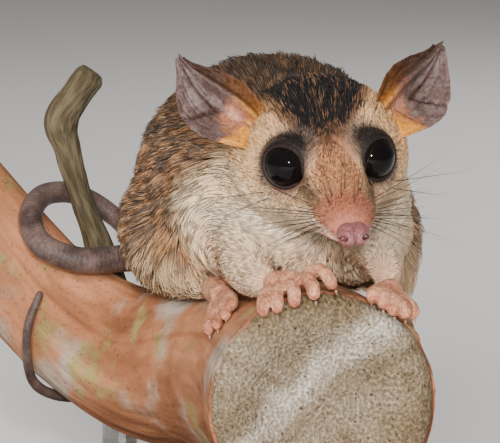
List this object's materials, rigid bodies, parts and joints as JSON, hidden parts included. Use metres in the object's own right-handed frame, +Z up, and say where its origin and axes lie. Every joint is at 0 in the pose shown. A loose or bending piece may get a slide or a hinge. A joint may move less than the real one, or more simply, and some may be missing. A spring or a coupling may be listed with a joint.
{
  "type": "opossum display model",
  "caption": "Still, life-size model of a small mouse opossum crouched on a cut length of branch, on a flat base with two short rods.",
  "frame": {"origin": "middle of the underside of the stand's base, on the surface that it stands on", "axes": "+Z up, +X along the base's long side, to the animal's left, and -Y ahead, the way that the animal faces"},
  "size_m": [0.132, 0.116, 0.1021],
  "materials": {
    "coat_brown": "soft dense brown coat with rufous and grey tufts",
    "coat_cream": "soft dense cream coat",
    "skin_pink": "bare pink skin, slightly moist",
    "nose_pink": "bare moist nose skin",
    "ear_skin": "thin wrinkled bare skin, yellow-orange at the root",
    "tail_skin": "finely scaled grey-mauve skin",
    "eye_dark": "wet, polished near-black",
    "bark": "smooth orange-brown bark, rough grey-tan weathered cut end",
    "base_wood": "dark satin-varnished wood",
    "rod_steel": "satin steel"
  },
  "bodies": {
    "root": {"head": "coat_cream", "neck": "coat_brown", "torso": "coat_brown", "nose": "nose_pink", "eye_right": "eye_dark", "eye_left": "eye_dark", "ear_right": "ear_skin", "ear_left": "ear_skin", "hand_right": "skin_pink", "hand_left": "skin_pink", "foot_right": "skin_pink", "foot_left": "skin_pink", "foreleg_right": "coat_cream", "foreleg_left": "coat_cream", "hindleg_right": "coat_brown", "hindleg_left": "coat_brown", "tail_1": "tail_skin", "tail_2": "tail_skin", "tail_3": "tail_skin", "tail_4": "tail_skin", "tail_5": "tail_skin", "perch_branch": "bark", "perch_stub": "bark", "stand_base": "base_wood", "stand_rod_front": "rod_steel", "stand_rod_back": "rod_steel"}
  },
  "joints": []
}
